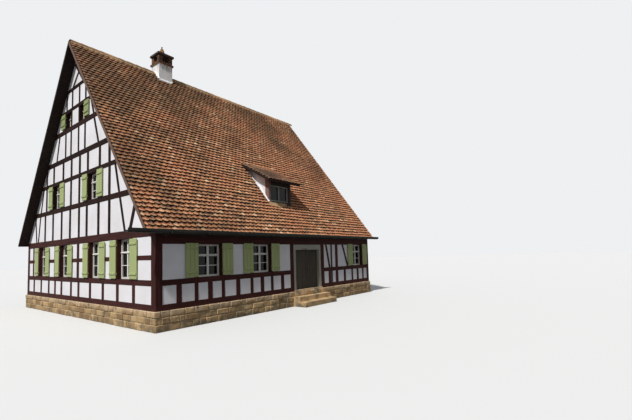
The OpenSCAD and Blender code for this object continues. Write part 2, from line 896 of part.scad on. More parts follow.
plinth_gables();
plinth_sides();
ground_floor();
gable_frame(true);  // front_ground_frame
gable_infill(true);  // front_ground_infill
gable_frame(false);  // front_gable_frame
gable_infill(false);  // front_gable_infill
at_rear() gable_frame(true);  // rear_ground_frame
at_rear() gable_infill(true);  // rear_ground_infill
at_rear() gable_frame(false);  // rear_gable_frame
at_rear() gable_infill(false);  // rear_gable_infill
side_frame(true, garden_window_at, garden_posts, garden_low_studs, garden_braces, true);  // garden_frame
side_infill(true, garden_window_at, garden_posts, garden_low_studs, garden_braces, true);  // garden_infill
side_frame(false, yard_window_at, yard_posts, yard_low_studs, yard_braces, false);  // yard_frame
side_infill(false, yard_window_at, yard_posts, yard_low_studs, yard_braces, false);  // yard_infill
gable_window_frames();  // front_windows
at_rear() gable_window_frames();  // rear_windows
side_window_frames(true, garden_window_at);  // garden_windows
side_window_frames(false, yard_window_at);  // yard_windows
dormer_window();
union() {  // ground_storey_glass
    gable_glass([0]);
    at_rear() gable_glass([0]);
    side_glass(true, garden_window_at);
    side_glass(false, yard_window_at);
}
union() {  // attic_glass
    gable_glass([1, 2]);
    at_rear() gable_glass([1, 2]);
    dormer_glass();
}
gable_shutters();  // front_shutters
at_rear() gable_shutters();  // rear_shutters
side_shutters(true, garden_window_at);  // garden_shutters
side_shutters(false, yard_window_at);  // yard_shutters
door_frame();
door_threshold();
door_step();
door_leaf_left();
door_leaf_right();
door_hooks();
floor_beams();
attic_floor();
loft_floor();
roof_garden();
roof_yard();
ridge_capping();
bargeboards();
eaves_boards();
gutter();
gutter_hooks();
chimney_stack();
chimney_head();
chimney_cap();
dormer_frame();
dormer_cheeks();
dormer_roof();
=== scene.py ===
import math
import random
import bmesh
import bpy
from mathutils import Matrix, Vector, noise


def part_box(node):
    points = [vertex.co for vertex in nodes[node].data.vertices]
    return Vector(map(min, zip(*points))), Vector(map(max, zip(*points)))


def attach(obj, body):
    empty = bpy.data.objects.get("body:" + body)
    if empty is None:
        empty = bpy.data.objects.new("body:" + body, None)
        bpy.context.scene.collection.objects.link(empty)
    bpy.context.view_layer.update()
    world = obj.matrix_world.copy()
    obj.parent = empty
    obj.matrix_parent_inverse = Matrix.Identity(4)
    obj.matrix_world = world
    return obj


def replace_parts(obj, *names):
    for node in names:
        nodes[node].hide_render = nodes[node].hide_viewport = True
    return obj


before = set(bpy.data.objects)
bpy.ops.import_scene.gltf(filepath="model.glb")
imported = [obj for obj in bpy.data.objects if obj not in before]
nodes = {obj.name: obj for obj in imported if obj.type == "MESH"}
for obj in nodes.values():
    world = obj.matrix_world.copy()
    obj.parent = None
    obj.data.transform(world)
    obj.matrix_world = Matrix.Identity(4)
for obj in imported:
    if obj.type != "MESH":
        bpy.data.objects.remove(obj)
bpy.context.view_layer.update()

# Camera
# It stands in the yard off the garden corner at eye height, with the wide lens
# and the slight tilt of the photograph.
PHOTO_W, PHOTO_H = 632, 420
lens_px = 370.5
centre_px_y = 228.7
camera_at = Vector((15.046, -10.867, 1.951))
yaw, pitch, roll = (math.radians(a) for a in (-37.877, 3.996, -1.722))


def put(name, data):
    """Adds an object to the scene."""
    made = bpy.data.objects.new(name, data)
    bpy.context.scene.collection.objects.link(made)
    return made


ahead = Vector((math.sin(yaw) * math.cos(pitch), math.cos(yaw) * math.cos(pitch), math.sin(pitch)))
level = Vector((math.cos(yaw), -math.sin(yaw), 0))
rise = level.cross(ahead)
right = level * math.cos(roll) + rise * math.sin(roll)
up = rise * math.cos(roll) - level * math.sin(roll)
camera_data = bpy.data.cameras.new("camera")
camera_data.sensor_width = 36
camera_data.lens = lens_px / PHOTO_W * camera_data.sensor_width
camera_data.shift_y = (centre_px_y - PHOTO_H / 2) / PHOTO_W
camera_data.clip_end = 500
camera = put("camera", camera_data)
camera.matrix_world = Matrix.Translation(camera_at) @ Matrix((right, up, -ahead)).transposed().to_4x4()
bpy.context.scene.camera = camera

# Plinth
# Low walls of quarried sandstone in three rough courses, bedded in lime mortar. The packed
# slabs show as the mortar, and the rough stones stand a little proud of them.
plinth_courses = (0.0, 0.21, 0.39, 0.55)
stone_len = (0.16, 0.50)
stone_joint = 0.024
stone_proud = (0.006, 0.030)
stone_bed = 0.06
stone_chamfer = 0.014
stone_cuts = 3
stone_lumps_a_metre = 8
stone_uneven = 0.010
flat_foot = 0.01
MIX_FACTOR, MIX_A, MIX_B, MIX_OUT = 0, 6, 7, 2
# Without a seed, noise vectors start from the clock and differ from run to run.
noise.seed_set(4)


def srgb(code):
    """A hex colour as linear light."""
    parts = [int(code[i:i + 2], 16) / 255 for i in (1, 3, 5)]
    return [v / 12.92 if v <= 0.04045 else ((v + 0.055) / 1.055) ** 2.4 for v in parts] + [1.0]


def add(tree, kind, inputs=None, **settings):
    """Adds a node. inputs gives a socket, by name or number, another node's output, a hex colour
    or a plain value."""
    node = tree.nodes.new(kind)
    for name, value in settings.items():
        setattr(node, name, value)
    for key, value in (inputs or {}).items():
        if isinstance(value, bpy.types.NodeSocket):
            tree.links.new(value, node.inputs[key])
        elif isinstance(value, str) and value.startswith("#"):
            node.inputs[key].default_value = srgb(value)
        else:
            node.inputs[key].default_value = value
    return node


def new_finish(name, roughness, gloss=0.2, more=None):
    """A material with its shader, and the object's own coordinates in metres. gloss is low on matt,
    weathered surfaces, whose pores scatter the light. more gives other sockets of the shader."""
    finish = bpy.data.materials.new(name)
    finish.use_nodes = True
    tree = finish.node_tree
    tree.nodes.clear()
    given = {"Roughness": roughness, "Specular IOR Level": gloss} | (more or {})
    shader = add(tree, "ShaderNodeBsdfPrincipled", given)
    add(tree, "ShaderNodeOutputMaterial", {"Surface": shader.outputs[0]})
    place = add(tree, "ShaderNodeTexCoord").outputs["Object"]
    return finish, tree, shader, place


def layer(tree, under, colour, field, low=None, high=None, most=1.0):
    """Lays a colour over what is under it. Its share grows from 0 to most while a field goes from
    low to high, or is the field itself where these aren't given."""
    share = field
    if low is not None:
        share = add(tree, "ShaderNodeMapRange", {0: field, 1: low, 2: high, 4: most}).outputs[0]
    return add(tree, "ShaderNodeMix", {MIX_FACTOR: share, MIX_A: under, MIX_B: colour},
               data_type="RGBA").outputs[MIX_OUT]


def shaded(tree, tone, field, low, high, first, last):
    """Brightens or darkens a colour by a factor that goes from first to last while a field goes
    from low to high."""
    factor = add(tree, "ShaderNodeMapRange", {0: field, 1: low, 2: high, 3: first, 4: last}).outputs[0]
    return add(tree, "ShaderNodeVectorMath", {0: tone, 3: factor}, operation="SCALE").outputs[0]


def surface(tree, shader, tone, height, strength, depth):
    """Gives a shader its colour and its relief, with the depth in metres."""
    tree.links.new(tone, shader.inputs["Base Color"])
    relief = add(tree, "ShaderNodeBump", {"Height": height, "Strength": strength, "Distance": depth})
    tree.links.new(relief.outputs[0], shader.inputs["Normal"])


def clouded(name, roughness, light, dark, cloud, skin, relief, gloss=0.2, band=(), more=None):
    """A plain finish that goes from light to dark in soft clouds. cloud and skin are the scale and
    detail of the clouds and of the relief, and band is the stretch of the clouds that turns dark."""
    finish, tree, shader, place = new_finish(name, roughness, gloss, more)
    clouds, fine = [add(tree, "ShaderNodeTexNoise", {"Vector": place, "Scale": scale, "Detail": detail})
                    for scale, detail in (cloud, skin)]
    tone = layer(tree, light, dark, clouds.outputs["Fac"], *band)
    surface(tree, shader, tone, fine.outputs["Fac"], *relief)
    return finish


def dress(finish, *names):
    """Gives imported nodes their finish."""
    for name in names:
        mesh = nodes[name].data
        if not mesh.materials:
            mesh.materials.append(finish)
        for slot in nodes[name].material_slots:
            slot.material = finish


def piece(name, bm, finish, body="house"):
    """Makes a piece of a finished mesh. It rides on a body."""
    mesh = bpy.data.meshes.new(name)
    bm.to_mesh(mesh)
    bm.free()
    mesh.materials.append(finish)
    made = put(name, mesh)
    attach(made, body)
    return made


def block(bm, lo, hi, chamfer, cuts=0):
    """Adds a box with chamfered edges, cut into a grid if asked, and returns its vertices."""
    part = bmesh.new()
    bmesh.ops.create_cube(part, size=1)
    for v in part.verts:
        v.co = Vector([lo[i] + (v.co[i] + 0.5) * (hi[i] - lo[i]) for i in range(3)])
    bmesh.ops.bevel(part, geom=part.edges[:], offset=chamfer, segments=1, affect="EDGES")
    if cuts:
        long_edges = [e for e in part.edges if e.calc_length() > 4 * chamfer]
        bmesh.ops.subdivide_edges(part, edges=long_edges, cuts=cuts, use_grid_fill=True)
    return merge(bm, part)


def merge(bm, part):
    """Adds a finished part to a mesh and frees it."""
    part.verts.index_update()
    fresh = [bm.verts.new(v.co) for v in part.verts]
    for f in part.faces:
        bm.faces.new([fresh[v.index] for v in f.verts])
    part.free()
    return fresh


def scatter(chance, reach=40):
    """A random place for a piece's noise and grain, so that no two pieces are alike."""
    return Vector((chance.random(), chance.random(), chance.random())) * reach


# Sandstone: warm yellow to brown grains with a matt split face, smeared with pale lime
# under the sill and greyer where the foot stays damp.
sandstone, tree, shader, place = new_finish("quarried_sandstone", 0.92)
tint = add(tree, "ShaderNodeAttribute", attribute_name="tint").outputs["Fac"]
patches = add(tree, "ShaderNodeTexNoise", {"Vector": place, "Scale": 3.5, "Detail": 6.0}).outputs["Fac"]
height = add(tree, "ShaderNodeSeparateXYZ", {0: place}).outputs["Z"]
limy = add(tree, "ShaderNodeMapRange", {0: height, 1: 0.36, 2: 0.50, 4: 0.30}).outputs[0]
limy = add(tree, "ShaderNodeMath", {0: limy, 1: patches}, operation="ADD").outputs[0]
damp = add(tree, "ShaderNodeMapRange", {0: height, 1: 0.0, 2: 0.22, 3: 0.10, 4: 0.0}).outputs[0]
damp = add(tree, "ShaderNodeMath", {0: damp, 1: patches}, operation="ADD").outputs[0]
grit = add(tree, "ShaderNodeTexNoise", {"Vector": place, "Scale": 55.0, "Detail": 5.0}).outputs["Fac"]
tone = layer(tree, "#c9a97c", "#8f6f4d", tint)
tone = layer(tree, tone, "#d0b593", limy, 0.62, 0.78, 0.85)
tone = layer(tree, tone, "#7d705a", damp, 0.50, 0.70)
tone = shaded(tree, tone, grit, 0.3, 0.7, 0.82, 1.08)
surface(tree, shader, tone, grit, 0.6, 0.006)

# Lime mortar: pale, sandy and set back between the stones.
mortar = clouded("lime_mortar", 0.95, "#c2ad88", "#97866b", (2.0, 5.0), (70.0, 4.0), (0.5, 0.004))

gable_lo, gable_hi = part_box("plinth_gables")
stones = bmesh.new()
stone_tint = stones.verts.layers.float.new("tint")
pick = random.Random(4)
for face, side in ((1, -1), (1, 1), (0, -1), (0, 1)):
    run = 1 - face
    outer = gable_hi[face] if side > 0 else gable_lo[face]
    over = stone_proud[0] if run == 0 else 0
    for low, high in zip(plinth_courses, plinth_courses[1:]):
        start = gable_lo[run] - over
        end = gable_hi[run] + over
        while start < end:
            reach = start + pick.uniform(*stone_len)
            if end - reach < stone_len[0]:
                reach = end
            lo, hi = Vector(), Vector()
            lo[run], hi[run] = start, reach - (stone_joint if reach < end else 0)
            lo[2], hi[2] = low, high - (stone_joint if high < plinth_courses[-1] else 0)
            proud = pick.uniform(*stone_proud)
            lo[face], hi[face] = sorted((outer - side * stone_bed, outer + side * proud))
            shift = scatter(pick, 50)
            shade = pick.random()
            for v in block(stones, lo, hi, stone_chamfer, stone_cuts):
                v[stone_tint] = shade
                if v.co.z > flat_foot:
                    v.co += noise.noise_vector(v.co * stone_lumps_a_metre + shift) * stone_uneven
                v.co.z = max(v.co.z, 0.0)
            start = reach
piece("plinth_stones", stones, sandstone)
dress(mortar, "plinth_gables", "plinth_sides")
dress(sandstone, "ground_floor")

# Timber frame
# Oak squared with the axe, jointed and pegged, and painted: ox-blood below and nearly black
# in the upper gables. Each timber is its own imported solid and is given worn, uneven edges.
arris = 0.007
hew_step = 0.42
hew_depth = 0.0035
hew_waves_a_metre = 2.3
peg_r = 0.013
peg_tip = 0.8
peg_len = 0.03
peg_proud = 0.006
peg_in = 0.05
weld = 1e-5


def solids(node):
    """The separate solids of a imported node, each as a clean mesh."""
    whole = bmesh.new()
    whole.from_mesh(nodes[node].data)
    bmesh.ops.remove_doubles(whole, verts=whole.verts, dist=weld)
    bmesh.ops.dissolve_limit(whole, angle_limit=math.radians(1), verts=whole.verts, edges=whole.edges)
    found, seen = [], set()
    for first in whole.verts:
        if first in seen:
            continue
        seen.add(first)
        group, ask = [], [first]
        while ask:
            v = ask.pop()
            group.append(v)
            for e in v.link_edges:
                w = e.other_vert(v)
                if w not in seen:
                    seen.add(w)
                    ask.append(w)
        part = bmesh.new()
        twin = {v: part.verts.new(v.co) for v in group}
        for f in dict.fromkeys(f for v in group for f in v.link_faces):
            part.faces.new([twin[v] for v in f.verts])
        found.append(part)
    whole.free()
    return found


def corners(part):
    """Lowest and highest corner of a solid."""
    places = [v.co for v in part.verts]
    return (Vector([min(p[i] for p in places) for i in range(3)]),
            Vector([max(p[i] for p in places) for i in range(3)]))


def extents(node):
    """Lowest and highest corner of each solid of a node."""
    boxes = []
    for part in solids(node):
        boxes.append(corners(part))
        part.free()
    return boxes


def hew(node, name, finish, depth=hew_depth, tone=None):
    """Replaces a node's timbers or stones by the same solids with chamfered, slightly uneven sides.
    Each carries its own grain coordinates, along its length first, and a tint, which tone can fix."""
    bm = bmesh.new()
    grain = bm.verts.layers.float_vector.new("grain")
    tint = bm.verts.layers.float.new("tint")
    chance = random.Random(node)
    for part in solids(node):
        longest = max(part.edges, key=lambda e: e.calc_length())
        along = (longest.verts[1].co - longest.verts[0].co).normalized()
        if along.dot(Vector((1, 1, 1))) < 0:
            along.negate()
        across = along.orthogonal().normalized()
        deep = along.cross(across)
        bmesh.ops.bevel(part, geom=part.edges[:], offset=arris, segments=1, affect="EDGES",
                        clamp_overlap=True)
        bmesh.ops.dissolve_degenerate(part, dist=weld, edges=part.edges[:])
        ends = [v.co.dot(along) for v in part.verts]
        start, length = min(ends), max(ends) - min(ends)
        cuts = int(length / hew_step)
        for i in range(1, cuts + 1):
            at = along * (start + length * i / (cuts + 1))
            everything = part.verts[:] + part.edges[:] + part.faces[:]
            bmesh.ops.bisect_plane(part, geom=everything, plane_co=at, plane_no=along)
        shift = scatter(chance)
        shade = chance.random() if tone is None else tone
        for v in merge(bm, part):
            v[grain] = Vector((v.co.dot(along), v.co.dot(across), v.co.dot(deep))) + shift
            v[tint] = shade
            v.co += noise.noise_vector(v.co * hew_waves_a_metre + shift) * depth
            v.co.z = max(v.co.z, 0.0)
    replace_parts(piece(name, bm, finish), node)


def drawn_out(tree, place, scales, detail, scale=1.0):
    """Noise that is drawn out along the axis where scales is low, as grain or drips are."""
    at = add(tree, "ShaderNodeMapping", {"Vector": place, "Scale": scales}).outputs[0]
    return add(tree, "ShaderNodeTexNoise", {"Vector": at, "Scale": scale, "Detail": detail}).outputs["Fac"]


def wood_finish(name, colour, dark, light, roughness, gloss=0.2):
    """Timber or board: streaks and drying cracks along the grain coordinates, no gloss."""
    finish, tree, shader, _ = new_finish(name, roughness, gloss)
    grain = add(tree, "ShaderNodeAttribute", attribute_name="grain").outputs["Vector"]
    tint = add(tree, "ShaderNodeAttribute", attribute_name="tint").outputs["Fac"]
    fibre = drawn_out(tree, grain, (1.6, 34.0, 34.0), 6.0)
    tone = layer(tree, dark, colour, fibre, 0.34, 0.66)
    tone = layer(tree, tone, light, tint, 0.0, 1.0, 0.45)
    crack = drawn_out(tree, grain, (0.9, 15.0, 15.0), 2.0)
    gap = add(tree, "ShaderNodeMapRange", {0: crack, 1: 0.30, 2: 0.34, 3: 0.35}).outputs[0]
    tone = add(tree, "ShaderNodeVectorMath", {0: tone, 3: gap}, operation="SCALE").outputs[0]
    relief = add(tree, "ShaderNodeMath", {0: fibre, 1: gap}, operation="ADD").outputs[0]
    surface(tree, shader, tone, relief, 0.7, 0.004)
    return finish


def piece_tree():
    """Geometry Nodes that set one unit on every seat, with the seat's turn and size, a small
    random turn and lift, and a random tint that is the same each run."""
    tree = bpy.data.node_groups.new("set_pieces", "GeometryNodeTree")
    for label, kind in (("Seats", "NodeSocketGeometry"), ("Unit", "NodeSocketObject"),
                        ("Wobble", "NodeSocketVector"), ("Lift", "NodeSocketFloat"),
                        ("Finish", "NodeSocketMaterial")):
        tree.interface.new_socket(label, in_out="INPUT", socket_type=kind)
    tree.interface.new_socket("Pieces", in_out="OUTPUT", socket_type="NodeSocketGeometry")
    given = add(tree, "NodeGroupInput").outputs
    down = add(tree, "ShaderNodeMath", {0: given["Lift"], 1: -1.0}, operation="MULTIPLY").outputs[0]
    lift = add(tree, "FunctionNodeRandomValue", {2: down, 3: given["Lift"], "Seed": 5}, data_type="FLOAT")
    raised = add(tree, "ShaderNodeCombineXYZ", {"Z": lift.outputs[1]}).outputs[0]
    seats = add(tree, "GeometryNodeSetPosition", {"Geometry": given["Seats"], "Offset": raised}).outputs[0]
    turn = add(tree, "GeometryNodeInputNamedAttribute", {"Name": "turn"}, data_type="FLOAT_VECTOR")
    size = add(tree, "GeometryNodeInputNamedAttribute", {"Name": "size"}, data_type="FLOAT_VECTOR")
    unit = add(tree, "GeometryNodeObjectInfo", {"Object": given["Unit"]}).outputs["Geometry"]
    laid = add(tree, "GeometryNodeInstanceOnPoints",
               {"Points": seats, "Instance": unit, "Rotation": turn.outputs["Attribute"],
                "Scale": size.outputs["Attribute"]}).outputs[0]
    back = add(tree, "ShaderNodeVectorMath", {0: given["Wobble"], 3: -1.0}, operation="SCALE").outputs[0]
    shake = add(tree, "FunctionNodeRandomValue", {0: back, 1: given["Wobble"], "Seed": 3},
                data_type="FLOAT_VECTOR")
    laid = add(tree, "GeometryNodeRotateInstances",
               {"Instances": laid, "Rotation": shake.outputs[0]}).outputs[0]
    tint = add(tree, "FunctionNodeRandomValue", {"Seed": 7}, data_type="FLOAT").outputs[1]
    laid = add(tree, "GeometryNodeStoreNamedAttribute", {"Geometry": laid, "Name": "tint", "Value": tint},
               data_type="FLOAT", domain="INSTANCE").outputs[0]
    real = add(tree, "GeometryNodeRealizeInstances", {"Geometry": laid}).outputs[0]
    done = add(tree, "GeometryNodeSetMaterial", {"Geometry": real, "Material": given["Finish"]}).outputs[0]
    add(tree, "NodeGroupOutput", {"Pieces": done})
    return tree


set_pieces = piece_tree()


def lay(name, seats, unit, finish, wobble=(0, 0, 0), lift=0.0):
    """Sets a unit on each seat, given as place, turn and size, and makes one plain mesh piece
    of the house. wobble and lift are the most that a unit turns and shifts by chance."""
    mesh = bpy.data.meshes.new(name + "_seats")
    mesh.from_pydata([s[0] for s in seats], [], [])
    for label, i in (("turn", 1), ("size", 2)):
        field = mesh.attributes.new(label, "FLOAT_VECTOR", "POINT")
        field.data.foreach_set("vector", [x for s in seats for x in s[i]])
    holder = put(name, mesh)
    unit_mesh = bpy.data.meshes.new(name + "_unit")
    unit.to_mesh(unit_mesh)
    unit.free()
    unit_object = put(name + "_unit", unit_mesh)
    modifier = holder.modifiers.new("set", "NODES")
    modifier.node_group = set_pieces
    values = {"Unit": unit_object, "Wobble": wobble, "Lift": lift, "Finish": finish}
    for item in set_pieces.interface.items_tree:
        if item.in_out == "INPUT" and item.name in values:
            modifier[item.identifier] = values[item.name]
    graph = bpy.context.evaluated_depsgraph_get()
    holder.data = bpy.data.meshes.new_from_object(holder.evaluated_get(graph))
    holder.modifiers.clear()
    bpy.data.objects.remove(unit_object)
    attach(holder, "house")
    return holder


oak = wood_finish("painted_oak", "#241512", "#100807", "#36211b", 0.8, 0.08)
red_oak = wood_finish("ox_blood_painted_oak", "#41211e", "#23100e", "#572f2a", 0.75, 0.1)
frames = ["front_ground_frame", "front_gable_frame", "rear_ground_frame", "rear_gable_frame",
          "garden_frame", "yard_frame"]
for node in frames:
    hew(node, node.replace("_frame", "_timbers"), oak if "gable" in node else red_oak)
hew("floor_beams", "hewn_floor_beams", oak)

outward = {"front": Vector((0, -1, 0)), "rear": Vector((0, 1, 0)), "garden": Vector((1, 0, 0)),
           "yard": Vector((-1, 0, 0))}


def facing(wall):
    """Turns a unit's Z to face out of a wall."""
    return tuple(outward[wall].to_track_quat("Z", "Y").to_euler())


def along_wall(out, a, z, depth):
    """A point on a wall: a along it, z up, depth out from the house's middle."""
    return Vector((out.x * depth + abs(out.y) * a, out.y * depth + abs(out.x) * a, z))


# Pegs: one beyond each end of every upright, through the rail or sill that it is tenoned into.
peg_seats = []
for node in frames:
    wall = node.split("_")[0]
    out = outward[wall]
    axis = 0 if out.y else 1
    for lo, hi in extents(node):
        if hi.z - lo.z > 2 * (hi[axis] - lo[axis]):
            for z in (lo.z - peg_in, hi.z + peg_in):
                spot = along_wall(out, (lo[axis] + hi[axis]) / 2, z, max(lo.dot(out), hi.dot(out)))
                peg_seats.append((tuple(spot), facing(wall), (1, 1, 1)))
peg = bmesh.new()
bmesh.ops.create_cone(peg, cap_ends=True, segments=8, radius1=peg_r, radius2=peg_r * peg_tip, depth=peg_len,
                      matrix=Matrix.Translation((0, 0, peg_proud - peg_len / 2)))
lay("oak_pegs", peg_seats, peg, oak, wobble=(0.1, 0.1, 0.8))

# Plaster panels
# Wattle and daub between the timbers, coated with lime plaster and whitewashed each
# few years. It lies just behind the timber faces.
limewash = clouded("limewashed_plaster", 0.9, "#f4f1f3", "#e5e1e0", (1.1, 5.0), (7.0, 8.0), (0.35, 0.012),
                   band=(0.35, 0.75))
dress(limewash, "dormer_cheeks", *(node.replace("_frame", "_infill") for node in frames))

# Windows
# Painted softwood frames with two casements under a fixed transom, and drawn glass
# held by putty and thin beads.
frame_w = 0.045
transom_share = 0.66
transom_inset = 0.01
transom_proud = 0.030
transom_chamfer = 0.012
bead_w = 0.012
bead_lap = 0.012
bead_seat = 0.03
bead_proud = 0.008
bar_w = 0.022
bar_seat = 0.025
bar_proud = 0.004

window_paint = clouded("white_oil_paint", 0.45, "#f0eee6", "#d9d5c9", (6.0, 5.0), (90.0, 3.0), (0.2, 0.001),
                       gloss=0.5)

# Glass: its index is set low, because old glass under a film of dust mirrors less of the sky.
# Painted shade: the glass is tinted near black, standing for the dim rooms behind the panes.
pane, tree, shader, place = new_finish("drawn_window_glass", 0.04, 0.1, {
    "Base Color": "#121616", "IOR": 1.3, "Transmission Weight": 1.0})
draw = add(tree, "ShaderNodeTexNoise", {"Vector": place, "Scale": 4.0, "Detail": 1.0}).outputs["Fac"]
waves = add(tree, "ShaderNodeBump", {"Height": draw, "Strength": 0.05, "Distance": 0.01}).outputs[0]
tree.links.new(waves, shader.inputs["Normal"])
dress(pane, "ground_storey_glass", "attic_glass")


def bar(bm, out, a, z, depth, chamfer=0.003):
    """A bar on a wall from a[0] to a[1] along it, z[0] to z[1] up, depth[0] to depth[1] out."""
    p, q = along_wall(out, a[0], z[0], depth[0]), along_wall(out, a[1], z[1], depth[1])
    block(bm, [min(s) for s in zip(p, q)], [max(s) for s in zip(p, q)], chamfer)


def glaze(wall):
    """Beads round each light, a glazing bar in each casement and a transom, for a wall's windows."""
    out = outward[wall]
    axis = 0 if out.y else 1
    bm = bmesh.new()
    for lo, hi in extents(wall + "_windows"):
        face = max(lo.dot(out), hi.dot(out))
        depth = (face - bead_seat, face + bead_proud)
        light = (hi[axis] - lo[axis] - 3 * frame_w) / 2
        split = lo.z + (hi.z - lo.z) * transom_share
        rows = ((lo.z + frame_w, split - frame_w / 2), (split + frame_w / 2, hi.z - frame_w))
        for i in (0, 1):
            x0 = lo[axis] + frame_w + i * (light + frame_w)
            x1 = x0 + light
            across = (x0 + bead_w, x1 - bead_w)
            for z0, z1 in rows:
                bar(bm, out, (x0 - bead_lap, x0 + bead_w), (z0 - bead_lap, z1 + bead_lap), depth)
                bar(bm, out, (x1 - bead_w, x1 + bead_lap), (z0 - bead_lap, z1 + bead_lap), depth)
                bar(bm, out, across, (z0 - bead_lap, z0 + bead_w), depth)
                bar(bm, out, across, (z1 - bead_w, z1 + bead_lap), depth)
            z = sum(rows[0]) / 2
            bar(bm, out, across, (z - bar_w / 2, z + bar_w / 2), (face - bar_seat, face + bar_proud))
        bar(bm, out, (lo[axis] + transom_inset, hi[axis] - transom_inset),
            (split - frame_w / 2, split + frame_w / 2), (face, face + transom_proud), transom_chamfer)
    piece(wall + "_casements", bm, window_paint)


for wall in outward:
    glaze(wall)
dress(window_paint, *(wall + "_windows" for wall in outward))

# Shutters
# Ledged board shutters, three planks nailed to two battens and painted light green.
# They are folded back beside every window, on blocks that keep them off the wall.
board_t = 0.028
plank_gap = 0.004
board_chamfer = 0.004
planks_a_shutter = 3
batten_t = 0.020
batten_inset = 0.012
batten_chamfer = 0.008
nail_r = 0.007
nail_tip = 0.6
nail_h = 0.006
nail_inset = 0.02
wall_side = 0.001

green, tree, shader, place = new_finish("green_oil_paint", 0.6)
streak = drawn_out(tree, place, (30.0, 30.0, 1.2), 4.0)
height = add(tree, "ShaderNodeSeparateXYZ", {0: place}).outputs["Z"]
tone = layer(tree, "#98a468", "#b7bf88", streak)
tone = layer(tree, tone, "#6c7a48", height, 5.0, 7.0, 0.45)
surface(tree, shader, tone, streak, 0.4, 0.002)

iron = clouded("forged_iron", 0.55, "#2c2a28", "#5a3b28", (60.0, 4.0), (60.0, 4.0), (0.4, 0.002),
               gloss=0.5, band=(0.5, 0.7), more={"Metallic": 0.8})

# The corners on a packed shutter's wall side belong to its hinge blocks. Battens are as high as those.
for wall, out in outward.items():
    bm = bmesh.new()
    nails = []
    axis = 0 if out.y else 1
    for part in solids(wall + "_shutters"):
        lo, hi = corners(part)
        back, front = sorted((lo.dot(out), hi.dot(out)))
        held = [v.co.copy() for v in part.verts if v.co.dot(out) < back + wall_side]
        part.free()
        batten_back = front - batten_t
        board_back = batten_back - board_t
        reach = (min(v[axis] for v in held), max(v[axis] for v in held))
        levels = sorted({round(v.z, 4) for v in held})
        a0, a1 = lo[axis], hi[axis]
        plank = (a1 - a0) / planks_a_shutter
        for i in range(planks_a_shutter):
            edges = (a0 + i * plank + plank_gap / 2, a0 + (i + 1) * plank - plank_gap / 2)
            bar(bm, out, edges, (lo.z, hi.z), (board_back, batten_back), board_chamfer)
        for low, high in (levels[:2], levels[2:]):
            bar(bm, out, reach, (low, high), (back, board_back))
            bar(bm, out, (a0 + batten_inset, a1 - batten_inset), (low, high), (batten_back, front),
                batten_chamfer)
            for i in range(planks_a_shutter):
                for z in (low + nail_inset, high - nail_inset):
                    spot = along_wall(out, a0 + (i + 0.5) * plank, z, front)
                    nails.append((tuple(spot), facing(wall), (1, 1, 1)))
    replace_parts(piece(wall + "_board_shutters", bm, green), wall + "_shutters")
    head = bmesh.new()
    bmesh.ops.create_cone(head, cap_ends=True, segments=8, radius1=nail_r, radius2=nail_r * nail_tip,
                          depth=nail_h)
    lay(wall + "_shutter_nails", nails, head, iron)

# Door
# Sandstone steps and threshold with trodden edges, and oak jambs and head, painted grey.
# Two ledged leaves of upright planks swing in on forged straps over iron hooks.
hew("door_step", "worn_steps", sandstone, depth=0.008, tone=0.15)
hew("door_threshold", "worn_threshold", sandstone, depth=0.002, tone=0.05)
door_t = 0.045
door_plank_gap = 0.002
door_plank_chamfer = 0.006
planks_a_leaf = 3
knuckle_gap = 0.010
knuckle_r = 0.011
ledge_t = 0.027
ledge_h = 0.12
ledge_inset = 0.015
ledge_chamfer = 0.005
strap_t = 0.008
strap_h = 0.05
strap_share = 0.75
strap_levels = (0.90, 1.80)
ring_r = 0.042
ring_wire = 0.006
ring_out = 0.013
ring_inset = 0.09
ring_height = 1.42
ring_turns = 28
ring_sides = 8
plate_half = (0.022, 0.060)
plate_t = 0.004
plate_in = 0.001
iron_chamfer = 0.002

grey_oak = wood_finish("grey_painted_oak", "#aeab9f", "#8b887c", "#c0bdb2", 0.7)
plank_oak = wood_finish("weathered_planks", "#4d473e", "#2f2b26", "#615a4e", 0.8)
hew("door_frame", "door_jambs", grey_oak, depth=0.001)
dress(iron, "door_hooks", "gutter_hooks")


def sawn(bm, lo, hi, chamfer, axis, chance, layers):
    """A sawn board with its grain along the given axis, and its own tint."""
    grain, tint = layers
    shift = scatter(chance)
    shade = chance.random()
    for v in block(bm, lo, hi, chamfer):
        v[grain] = Vector([v.co[(axis + i) % 3] for i in range(3)]) + shift
        v[tint] = shade


def sheathe(bm, rings, loop=False):
    """Faces along a row of closed rings of vertices, with end caps unless the row closes in a loop."""
    made = []
    for a, b in zip(rings, rings[1:] + rings[:1] if loop else rings[1:]):
        for i in range(len(a)):
            j = (i + 1) % len(a)
            made.append(bm.faces.new((a[i], b[i], b[j], a[j])))
    if not loop:
        made += [bm.faces.new(rings[0]), bm.faces.new(rings[-1][::-1])]
    bmesh.ops.recalc_face_normals(bm, faces=made)


def pull_ring(bm, middle):
    """A forged ring that hangs flat against the leaf."""
    rings = []
    for a in (math.tau * i / ring_turns for i in range(ring_turns)):
        out = Vector((0, math.cos(a), math.sin(a)))
        ring = []
        for b in (math.tau * j / ring_sides for j in range(ring_sides)):
            wire = out * ring_wire * math.cos(b) + Vector((ring_wire * math.sin(b), 0, 0))
            ring.append(bm.verts.new(middle + out * ring_r + wire))
        rings.append(ring)
    sheathe(bm, rings, loop=True)


